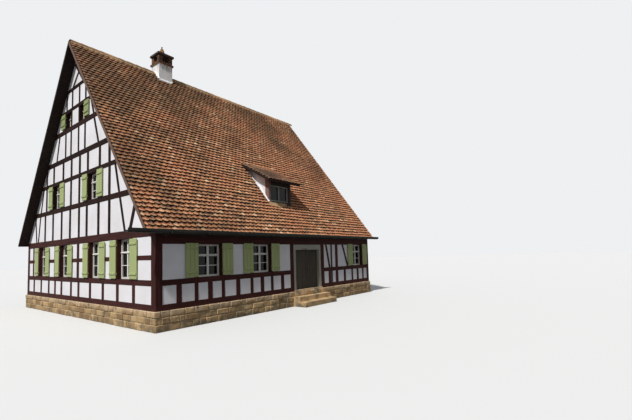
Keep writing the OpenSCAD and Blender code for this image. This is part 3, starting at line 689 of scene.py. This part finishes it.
# way is the direction along Y from the hinge to the middle of the doorway.
for side in ("left", "right"):
    node = "door_leaf_" + side
    body = side + "_door_leaf"
    lo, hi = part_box(node)
    if side == "left":
        hinge_y, way, leaf = lo.y, 1, (lo.y + knuckle_gap, hi.y)
    else:
        hinge_y, way, leaf = hi.y, -1, (lo.y, hi.y - knuckle_gap)
    back = hi.x - door_t
    ledge_back = back - ledge_t
    wood, metal = bmesh.new(), bmesh.new()
    layers = (wood.verts.layers.float_vector.new("grain"), wood.verts.layers.float.new("tint"))
    chance = random.Random(side)
    step = (leaf[1] - leaf[0]) / planks_a_leaf
    for i in range(planks_a_leaf):
        y0, y1 = leaf[0] + i * step + door_plank_gap / 2, leaf[0] + (i + 1) * step - door_plank_gap / 2
        sawn(wood, (back, y0, lo.z), (hi.x, y1, hi.z), door_plank_chamfer, 2, chance, layers)
    for z in strap_levels:
        sawn(wood, (ledge_back, leaf[0] + ledge_inset, z - ledge_h / 2),
             (back, leaf[1] - ledge_inset, z + ledge_h / 2), ledge_chamfer, 1, chance, layers)
        reach = (leaf[1] - leaf[0]) * strap_share
        y0, y1 = sorted((hinge_y, hinge_y + way * reach))
        block(metal, (ledge_back - strap_t, y0, z - strap_h / 2), (ledge_back, y1, z + strap_h / 2),
              iron_chamfer)
        turned = bmesh.new()
        pin = Matrix.Translation((lo.x + knuckle_r, hinge_y + way * knuckle_r, z))
        bmesh.ops.create_cone(turned, cap_ends=True, segments=16, radius1=knuckle_r, radius2=knuckle_r,
                              depth=strap_h, matrix=pin)
        merge(metal, turned)
    if side == "right":
        grip = Vector((hi.x, leaf[0] + ring_inset, ring_height))
        block(metal, grip - Vector((plate_in, *plate_half)), grip + Vector((plate_t, *plate_half)),
              iron_chamfer)
        pull_ring(metal, grip + Vector((ring_out, 0, -ring_r)))
    planks = piece(side + "_leaf_planks", wood, plank_oak, body)
    straps = piece(side + "_leaf_straps", metal, iron, body)
    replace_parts(planks, node)
    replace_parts(straps, node)

# Floors
# Spruce boards, left plain, on the beams of the attic and the loft.
spruce, tree, shader, place = new_finish("spruce_floor_boards", 0.8)
figure = drawn_out(tree, place, (1.5, 40.0, 40.0), 5.0)
tree.links.new(layer(tree, "#5d4a36", "#8a7152", figure), shader.inputs["Base Color"])
dress(spruce, "attic_floor", "loft_floor")

# Roof boards
# Rafters and laths under the tiles, seen from below as dark old wood, with a thin
# board up each verge and one that closes the eaves. The verge boards are painted near black
# as shade, and the garden verge is paler, which is painted light as well as bleaching.


def aged_wood(name, dark, light, scales, roughness=0.85, lit_and_bleached=None):
    """Old sawn wood on the object's own coordinates, with its grain along the axis where scales is
    low. lit_and_bleached gives an axis, where on it a paler colour starts and is full, its share and
    its tone: the paler part is painted light as well as bleaching."""
    finish, tree, shader, place = new_finish(name, roughness)
    figure = drawn_out(tree, place, scales, 5.0, 3.0)
    tone = layer(tree, dark, light, figure, 0.35, 0.65)
    # Painted light with bleaching: the wood turns paler along an axis, where it was lit.
    if lit_and_bleached:
        axis, low, high, most, pale = lit_and_bleached
        at = add(tree, "ShaderNodeSeparateXYZ", {0: place}).outputs[axis]
        tone = layer(tree, tone, pale, at, low, high, most)
    surface(tree, shader, tone, figure, 0.5, 0.004)
    return finish


old_wood = aged_wood("tarred_softwood", "#191311", "#332621", (9.0, 2.0, 9.0))
# Painted shade and light: near black, and paler on the garden half.
verge_wood = aged_wood("verge_board_with_painted_light", "#231a16", "#3f302a", (2.0, 9.0, 2.0),
                       lit_and_bleached=("X", -0.1, 0.1, 0.6, "#8b6e60"))
dress(old_wood, "roof_garden", "roof_yard", "eaves_boards", "dormer_roof")
dress(verge_wood, "bargeboards")

# Roof tiles
# Hand-made plain clay tiles with a rounded tail, hung in double lap on laths. Firing
# and weather gave each its own tone, and moss has darkened whole patches.
tile_w = 0.187
tile_fill = 0.97
tile_len = 0.260
tile_t = 0.019
tile_show = 0.165
tile_round = 0.092
tile_camber = 0.022
tile_gap = 0.010
tail_over = 0.045
tile_tilt = math.atan((tile_t + tile_gap) / tile_show)
tile_seat = 0.022
tile_slip = 0.018
course_wave = 0.020
deck_sag = 0.012
ridge_clear = 0.05
wobble = (math.radians(1.8), math.radians(3.0), math.radians(3.0))
built_lap = 0.02
cheek_lap = 0.30
roof_lo, roof_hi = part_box("roof_garden")
ridge_z = roof_hi.z
eaves_x = roof_hi.x
roof_pitch = math.radians(52.5)
eaves_z = ridge_z - math.tan(roof_pitch) * eaves_x
chimney_lo, chimney_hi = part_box("chimney_stack")
cheek_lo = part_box("dormer_cheeks")[0]
front_lo, front_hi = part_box("dormer_frame")


def ramp(tree, factor, stops):
    """A colour ramp with the given (place, colour) stops."""
    node = add(tree, "ShaderNodeValToRGB", {0: factor})
    marks = node.color_ramp.elements
    while len(marks) < len(stops):
        marks.new(0.5)
    for mark, (at, code) in zip(marks, stops):
        mark.position = at
        mark.color = srgb(code)
    return node.outputs[0]


def patchy(tree, place, scale, detail, roughness, *shifts):
    """A field of patches, which grow where the shifts that are added to its noise are high."""
    look = {"Vector": place, "Scale": scale, "Detail": detail, "Roughness": roughness}
    field = add(tree, "ShaderNodeTexNoise", look).outputs["Fac"]
    for shift in shifts:
        field = add(tree, "ShaderNodeMath", {0: field, 1: shift}, operation="ADD").outputs[0]
    return field


def clay_finish(name, stops, moss, mossy_from):
    """Unglazed clay: each tile has its own fired tone, and patches of moss and lichen lie over
    many tiles. The tail is worn pale and also carries a painted highlight. Each tile turns darker
    towards the next course, which is painted shade under its tails along with some grime."""
    finish, tree, shader, place = new_finish(name, 0.88, 0.1)
    tint = add(tree, "ShaderNodeAttribute", attribute_name="tint").outputs["Fac"]
    shown = add(tree, "ShaderNodeAttribute", attribute_name="shown").outputs["Fac"]
    at = add(tree, "ShaderNodeSeparateXYZ", {0: place}).outputs
    high = add(tree, "ShaderNodeMapRange", {0: at["Z"], 1: 5.0, 2: 9.5, 4: 0.12}).outputs[0]
    near = add(tree, "ShaderNodeMapRange", {0: at["Y"], 1: 2.0, 2: -5.5, 3: -0.04, 4: 0.06}).outputs[0]
    far = add(tree, "ShaderNodeMapRange", {0: at["Y"], 1: -1.0, 2: 5.5, 4: 0.12}).outputs[0]
    mossy = patchy(tree, place, 0.5, 7.0, 0.62, high, near)
    redder = patchy(tree, place, 0.9, 3.0, 0.5, far)
    tarry = patchy(tree, place, 1.7, 6.0, 0.65, high)
    spots = {"Vector": place, "Scale": 14.0, "Detail": 6.0, "Roughness": 0.7}
    spots = add(tree, "ShaderNodeTexNoise", spots).outputs["Fac"]
    skin = add(tree, "ShaderNodeTexNoise", {"Vector": place, "Scale": 80.0, "Detail": 4.0}).outputs["Fac"]
    tone = ramp(tree, tint, stops)
    tone = layer(tree, tone, "#ad5d3f", redder, 0.48, 0.62, 0.6)
    tone = layer(tree, tone, "#4c332b", tarry, 0.55, 0.68, 0.6)
    tone = layer(tree, tone, "#c9aa88", spots, 0.53, 0.64, 0.8)
    tone = shaded(tree, tone, spots, 0.44, 0.32, 1.0, 0.5)
    # Painted highlight with wear: a pale tone is laid over the tail.
    tone = layer(tree, tone, "#dcae80", shown, 0.32, 0.05, 0.5)
    tone = layer(tree, tone, moss, mossy, mossy_from, mossy_from + 0.14, 0.62)
    # Painted shade with grime: the tail is brightened, and the face darkens almost to black where the next
    # course covers it.
    tone = shaded(tree, tone, shown, 0.28, 0.78, 1.1, 0.03)
    surface(tree, shader, tone, skin, 0.5, 0.003)
    return finish


clay = clay_finish("plain_clay_tile", [
    (0.0, "#4f372c"), (0.12, "#774d3a"), (0.35, "#a26748"), (0.62, "#bb7e55"), (0.80, "#a85f49"),
    (0.90, "#c48b67"), (0.98, "#dfb793")], "#5f4a37", 0.50)


def tile_unit():
    """One plain tile: X across, Y up the slope from its tail, Z out, with a round tail and a camber.
    shown is 0 along the tail and 1 where the tails of the next course begin to cover it."""
    bm = bmesh.new()
    shown = bm.verts.layers.float.new("shown")
    rings = []
    for share in (-0.5, -0.39, -0.21, 0.0, 0.21, 0.39, 0.5):
        x = share * tile_w * tile_fill
        y = tile_round * (2 * share) ** 2
        lift = tile_camber * (1 - (2 * share) ** 2)
        section = ((x, y, lift), (x, y, lift + tile_t), (x, tile_len, lift + tile_t), (x, tile_len, lift))
        ring = [bm.verts.new(p) for p in section]
        covered = tile_show + tile_round * (1 - abs(2 * share)) ** 2
        for v in ring[2:]:
            v[shown] = (tile_len - y) / (covered - y)
        rings.append(ring)
    sheathe(bm, rings)
    return bm


def courses(corner, along, rise, width, length, skip):
    """Seats of the tiles of one slope, from its lower corner, in courses that break joint. The roof
    sags in long waves, and each tile has slipped a little, by itself and with its course."""
    out = along.cross(rise)
    turn = Matrix((along, rise, out)).transposed() @ Matrix.Rotation(-tile_tilt, 3, "X")
    euler = tuple(turn.to_euler())
    count = round(width / tile_w)
    pitch_w = width / count
    seats = []
    row = 0
    while row * tile_show < length:
        up = row * tile_show - tail_over
        shares = [(i + 0.5, 1.0) for i in range(count)]
        if row % 2:
            shares = [(0.25, 0.5)] + [(i + 1.0, 1.0) for i in range(count - 1)] + [(count - 0.25, 0.5)]
        for at, share in shares:
            flat = corner + along * (at * pitch_w) + rise * up
            sag = noise.noise(Vector((flat.y * 0.5, up * 0.45, 3.0))) * 0.5 + 0.5
            slip = noise.noise(flat * 19) * tile_slip + noise.noise(flat * 1.6) * course_wave
            spot = flat + rise * slip + out * (tile_seat + deck_sag * sag)
            if not skip(flat + rise * tile_show):
                seats.append((tuple(spot), euler, (share * pitch_w / tile_w, 1, 1)))
        row += 1
    return seats


def under_built(p):
    """True where the chimney stands on a slope, or the dormer on the garden slope."""
    if abs(p.x) < chimney_hi.x - built_lap:
        return chimney_lo.y + built_lap < p.y < chimney_hi.y - built_lap
    across_dormer = front_lo.y + built_lap < p.y < front_hi.y - built_lap
    return across_dormer and cheek_lo.x + cheek_lap < p.x < front_hi.x


def slope_ways(side):
    """Down a slope and square out of it. side is 1 for the garden slope and -1 for the yard slope."""
    return (Vector((side * math.cos(roof_pitch), 0, -math.sin(roof_pitch))),
            Vector((side * math.sin(roof_pitch), 0, math.cos(roof_pitch))))


for name, side, start_y in (("garden", 1, roof_lo.y), ("yard", -1, roof_hi.y)):
    seats = courses(Vector((side * eaves_x, start_y, eaves_z)), Vector((0, side, 0)), -slope_ways(side)[0],
                    roof_hi.y - roof_lo.y, eaves_x / math.cos(roof_pitch) - ridge_clear, under_built)
    lay(name + "_roof_tiles", seats, tile_unit(), clay, wobble=wobble, lift=0.003)

# Ridge
# Half round ridge tiles, each lapped over the next, on a bed of lime mortar that
# shows as a pale band along both edges.
ridge_tile_len = 0.40
ridge_show = 0.345
ridge_tile_r = 0.132
ridge_taper = 0.90
ridge_tile_t = 0.016
ridge_arc = (-8, 188)
ridge_facets = 10
ridge_axis_z = ridge_z - 0.075
ridge_ends = (0.02, 0.1)
ridge_into_chimney = (0.06, 0.02)
bedding = 0.075
bedding_x = 0.128
bedding_h = 0.025
bedding_step = 0.11
tiles_thick = 0.045
mortar_root = 0.03
mortar_back = 0.01
mortar_edge = 0.008

ridge_clay = clay_finish("ridge_tile_clay", [(0.0, "#5a3f31"), (0.5, "#84593f"), (1.0, "#a5704d")],
                         "#4c392d", 0.50)
ridge_unit = bmesh.new()
thin_r = ridge_tile_r * ridge_taper
rings = []
for i in range(ridge_facets + 1):
    a = math.radians(ridge_arc[0] + (ridge_arc[1] - ridge_arc[0]) * i / ridge_facets)
    section = ((ridge_tile_r, 0.0), (ridge_tile_r - ridge_tile_t, 0.0),
               (thin_r - ridge_tile_t, ridge_tile_len), (thin_r, ridge_tile_len))
    rings.append([ridge_unit.verts.new((r * math.cos(a), y, r * math.sin(a))) for r, y in section])
sheathe(ridge_unit, rings)
ridge_seats = []
y = roof_lo.y + ridge_ends[0]
while y < roof_hi.y - ridge_ends[1]:
    before = y < chimney_lo.y - ridge_tile_len + ridge_into_chimney[0]
    if before or y > chimney_hi.y - ridge_into_chimney[1]:
        ridge_seats.append(((0, y, ridge_axis_z), (0, 0, 0), (1, 1, 1)))
    y += ridge_show
ridge = lay("ridge_tiles", ridge_seats, ridge_unit, ridge_clay, wobble=(0.012, 0.03, 0.02),
            lift=0.004)
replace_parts(ridge, "ridge_capping")


def fillet(bm, start, end, over, up, spread, climb, steps=8):
    """A hand-pressed band of mortar in the angle from start to end. It lies on the roof along over,
    as wide as spread gives for its two ends, and goes up the wall as far as climb."""
    rows = []
    for i in range(steps + 1):
        spot = start.lerp(end, i / steps)
        wide = (spread[0] + (spread[1] - spread[0]) * i / steps) * (1 + 0.5 * noise.noise(spot * 11))
        tall = climb * (1 + 0.25 * noise.noise(spot * 7))
        section = ((-mortar_back, -mortar_root), (wide, -mortar_root), (wide, mortar_edge),
                   (wide * 0.4, tall * 0.45), (-mortar_back, tall))
        rows.append([bm.verts.new(spot + over * x + up * z) for x, z in section])
    sheathe(bm, rows)


def on_slope(x, y, side=1):
    """A point on the tiles of a slope, x out from the ridge."""
    return Vector((side * x, y, ridge_z - math.tan(roof_pitch) * x + tiles_thick / math.cos(roof_pitch)))


# Lime mortar laid later than the plinth's: cream coloured and a little rough.
pale_mortar = clouded("fresh_lime_mortar", 0.95, "#c4a880", "#977550", (8.0, 6.0), (8.0, 6.0), (0.5, 0.006))

bed = bmesh.new()
for side in (1, -1):
    for y0, y1 in ((roof_lo.y + ridge_ends[0], chimney_lo.y), (chimney_hi.y, roof_hi.y - ridge_ends[0])):
        fillet(bed, on_slope(bedding_x, y0, side), on_slope(bedding_x, y1, side), *slope_ways(side),
               (bedding, bedding), bedding_h, int((y1 - y0) / bedding_step))
piece("ridge_bedding", bed, pale_mortar)

# Gutter
# A trough hewn from one log, tarred, on forged hooks.
dress(aged_wood("tarred_log", "#191a18", "#33342f", (9.0, 0.6, 9.0)), "gutter")

# Chimney
# A rendered brick shaft astride the ridge, with brick piers under a stone cap and a
# mound of mortar on it. A mortar fillet closes its foot against the tiles.
brick_h = 0.065
brick_d = 0.12
brick_joint = 0.010
brick_proud = 0.004
brick_chamfer = 0.004
bricks_a_side = 3
pier_w = 0.3
drip_from = 0.45
drip_full = 0.05
mound_from = 0.07
mound_full = 0.16
fillet_leg = 0.055

# Render: white, stained in clouds, with soot that has run down from the head.
chimney_render, tree, shader, place = new_finish("lime_render", 0.92)
cloud = add(tree, "ShaderNodeTexNoise", {"Vector": place, "Scale": 3.0, "Detail": 7.0}).outputs["Fac"]
drip = drawn_out(tree, place, (14.0, 14.0, 1.5), 3.0)
drip = add(tree, "ShaderNodeMapRange", {0: drip, 1: 0.45, 2: 0.60}).outputs[0]
height = add(tree, "ShaderNodeSeparateXYZ", {0: place}).outputs["Z"]
top = {0: height, 1: chimney_hi.z - drip_from, 2: chimney_hi.z - drip_full, 4: 0.6}
top = add(tree, "ShaderNodeMapRange", top).outputs[0]
drip = add(tree, "ShaderNodeMath", {0: drip, 1: top}, operation="MULTIPLY").outputs[0]
tone = layer(tree, "#f4f1ee", "#cdc3b6", cloud, 0.50, 0.80, 0.4)
surface(tree, shader, layer(tree, tone, "#6f6a58", drip), cloud, 0.6, 0.01)
dress(chimney_render, "chimney_stack")

brick, tree, shader, place = new_finish("hand_moulded_brick", 0.9)
tint = add(tree, "ShaderNodeAttribute", attribute_name="tint").outputs["Fac"]
tone = ramp(tree, tint, [(0.0, "#33201b"), (0.5, "#583426"), (1.0, "#96603f")])
pits = add(tree, "ShaderNodeTexNoise", {"Vector": place, "Scale": 45.0, "Detail": 5.0}).outputs["Fac"]
surface(tree, shader, shaded(tree, tone, pits, 0.35, 0.6, 0.6, 1.0), pits, 0.5, 0.003)

# Cap: sandstone black with soot, with cleaner mortar on top.
sooty_stone, tree, shader, place = new_finish("sooty_sandstone", 0.9)
cloud = add(tree, "ShaderNodeTexNoise", {"Vector": place, "Scale": 9.0, "Detail": 6.0}).outputs["Fac"]
height = add(tree, "ShaderNodeSeparateXYZ", {0: place}).outputs["Z"]
cap_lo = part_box("chimney_cap")[0]
tone = layer(tree, layer(tree, "#2a2624", "#5a4c40", cloud), layer(tree, "#6f5139", "#a17c59", cloud),
             height, cap_lo.z + mound_from, cap_lo.z + mound_full)
surface(tree, shader, tone, cloud, 0.6, 0.006)
dress(sooty_stone, "chimney_cap")
dress(mortar, "chimney_head")

bricks = bmesh.new()
brick_tint = bricks.verts.layers.float.new("tint")
chance = random.Random(11)
for lo, hi in extents("chimney_head"):
    courses_here = max(1, round((hi.z - lo.z) / (brick_h + brick_joint)))
    level = (hi.z - lo.z) / courses_here
    x0, x1 = lo.x - brick_proud, hi.x + brick_proud
    y0, y1 = lo.y - brick_proud, hi.y + brick_proud
    spots = [((x0, y0), (x1, y1))]
    if max(hi.x - lo.x, hi.y - lo.y) > pier_w:
        spots = []
        run = (x1 - x0 - brick_d) / bricks_a_side
        for i in range(bricks_a_side):
            a, b = i * run, (i + 1) * run - brick_joint
            spots += [((x0 + a, y0), (x0 + b, y0 + brick_d)), ((x1 - b, y1 - brick_d), (x1 - a, y1)),
                      ((x0, y1 - b), (x0 + brick_d, y1 - a)), ((x1 - brick_d, y0 + a), (x1, y0 + b))]
    for c in range(courses_here):
        z0, z1 = lo.z + c * level + brick_joint / 2, lo.z + (c + 1) * level - brick_joint / 2
        for near, far in spots:
            shade = chance.random()
            for v in block(bricks, (*near, z0), (*far, z1), brick_chamfer):
                v[brick_tint] = shade
piece("chimney_bricks", bricks, brick)

across = Vector((0, 1, 0))
upright = Vector((0, 0, 1))
foot = bmesh.new()
for end_y, away in ((chimney_lo.y, -across), (chimney_hi.y, across)):
    for side in (1, -1):
        fillet(foot, on_slope(0, end_y), on_slope(chimney_hi.x, end_y, side), away, slope_ways(side)[1],
               (fillet_leg, fillet_leg), fillet_leg)
for side in (1, -1):
    fillet(foot, on_slope(chimney_hi.x, chimney_lo.y, side), on_slope(chimney_hi.x, chimney_hi.y, side),
           slope_ways(side)[0], upright, (fillet_leg, fillet_leg), fillet_leg)
piece("chimney_fillets", foot, chimney_render)

# Dormer
# A small lean-to window in the garden slope: oak front with grey paint on the window,
# plastered cheeks, old tiles on top, and mortar pressed into the angles with the roof.
post_w = 0.12
post_edge = 0.03
dormer_fillet = (0.13, 0.02)
dormer_climb = 0.05
dormer_steps = 24
cheek_start = 0.2
sole_back = 0.01
sole_proud = 0.05
sole_z = (-0.10, 0.03)
sole_ends = (0.03, 0.02)
sole_chamfer = 0.006
apron_stretches = ((-0.02, 0.30, (0.12, 0.20)), (0.29, 0.75, (0.20, 0.03)))

# Painted shade: the front is near black, standing for the shadow under the dormer's eaves. Its near corner
# post is pale, which is weathered wood and also painted as if lit.
front_wood = aged_wood("dormer_front_oak", "#171210", "#2e2420", (9.0, 9.0, 0.6), 0.8,
                       ("Y", front_lo.y + post_w + post_edge, front_lo.y + post_w, 0.85, "#8c7065"))
dress(front_wood, "dormer_frame")
grey_paint = clouded("grey_oil_paint", 0.6, "#a9a89d", "#8a897f", (8.0, 5.0), (90.0, 3.0), (0.2, 0.001))
dress(grey_paint, "dormer_window")

slab_lo, slab_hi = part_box("dormer_roof")
lip = max(nodes["dormer_roof"].data.vertices, key=lambda v: (round(v.co.x, 3), v.co.z)).co
eaves_corner = Vector((lip.x, slab_lo.y, lip.z))
dormer_up = Vector((slab_lo.x, slab_lo.y, slab_hi.z)) - eaves_corner
old_clay = clay_finish("old_plain_tile", [(0.0, "#45352f"), (0.5, "#654d45"), (1.0, "#7e6257")],
                       "#4d3e3a", 0.46)
dormer_seats = courses(eaves_corner, across, dormer_up.normalized(), slab_hi.y - slab_lo.y,
                       dormer_up.length, lambda p: False)
lay("dormer_tiles", dormer_seats, tile_unit(), old_clay, wobble=wobble, lift=0.003)

down, square = slope_ways(1)
foot = bmesh.new()
for end_y, away in ((front_lo.y, -across), (front_hi.y, across)):
    fillet(foot, on_slope(cheek_lo.x + cheek_start, end_y), on_slope(front_hi.x, end_y), away, square,
           dormer_fillet, dormer_climb, dormer_steps)
piece("dormer_fillets", foot, limewash)
# A dark sole plate under the window: a sill, and also painted shade where the front's shadow falls on the
# roof.
sole = bmesh.new()
foot_z = on_slope(front_hi.x, 0).z
block(sole, (front_hi.x - sole_back, front_lo.y + sole_ends[0], foot_z + sole_z[0]),
      (front_hi.x + sole_proud, front_hi.y - sole_ends[1], foot_z + sole_z[1]), sole_chamfer)
piece("dormer_sole_plate", sole, front_wood)
# A pale mortar apron below the front. It tapers out to the right where the dormer's cast shadow begins, so
# it is partly real mortar and partly a painted pool of sunlight.
foot = bmesh.new()
for start, end, spread in apron_stretches:
    y0, y1 = (front_lo.y + share * (front_hi.y - front_lo.y) for share in (start, end))
    fillet(foot, on_slope(front_hi.x + sole_proud, y0), on_slope(front_hi.x + sole_proud, y1), down,
           upright, spread, dormer_climb)
piece("dormer_apron", foot, pale_mortar)

# Studio
# A plain pale floor, a broad soft sun from the front and an even sky. Floor and sky show
# pale, while the light that they throw back on the house is weaker.
floor_half = 150
floor_z = -0.001
sun_from = Vector((0.13, -0.60, 0.79))


def seen_by(tree, *kinds):
    """1 for rays of the given kinds, and 0 for the others."""
    rays = add(tree, "ShaderNodeLightPath").outputs
    seen = rays[kinds[0]]
    for kind in kinds[1:]:
        seen = add(tree, "ShaderNodeMath", {0: seen, 1: rays[kind]}, operation="MAXIMUM").outputs[0]
    return seen


pale_floor, tree, shader, place = new_finish("pale_floor", 0.9)
seen = seen_by(tree, "Is Camera Ray", "Is Glossy Ray")
tree.links.new(layer(tree, "#3c3936", "#d8d7d4", seen), shader.inputs["Base Color"])
bm = bmesh.new()
bmesh.ops.create_grid(bm, x_segments=1, y_segments=1, size=floor_half)
mesh = bpy.data.meshes.new("studio_floor")
bm.to_mesh(mesh)
bm.free()
mesh.materials.append(pale_floor)
floor = put("studio_floor", mesh)
floor.location.z = floor_z

sun_data = bpy.data.lights.new("key", "SUN")
sun_data.energy = 3.75
sun_data.angle = math.radians(4)
sun = put("key", sun_data)
sun.rotation_euler = sun_from.to_track_quat("Z", "Y").to_euler()

world = bpy.data.worlds.new("studio")
bpy.context.scene.world = world
world.use_nodes = True
tree = world.node_tree
tree.nodes.clear()
seen = seen_by(tree, "Is Camera Ray", "Is Glossy Ray", "Is Transmission Ray")
fill = add(tree, "ShaderNodeBackground", {"Color": (0.86, 0.92, 1.0, 1.0), "Strength": 0.36}).outputs[0]
backdrop = add(tree, "ShaderNodeBackground", {"Color": "#eef0f2", "Strength": 1.0}).outputs[0]
shown = add(tree, "ShaderNodeMixShader", {0: seen, 1: fill, 2: backdrop}).outputs[0]
add(tree, "ShaderNodeOutputWorld", {"Surface": shown})

bpy.context.scene.view_settings.view_transform = "Standard"
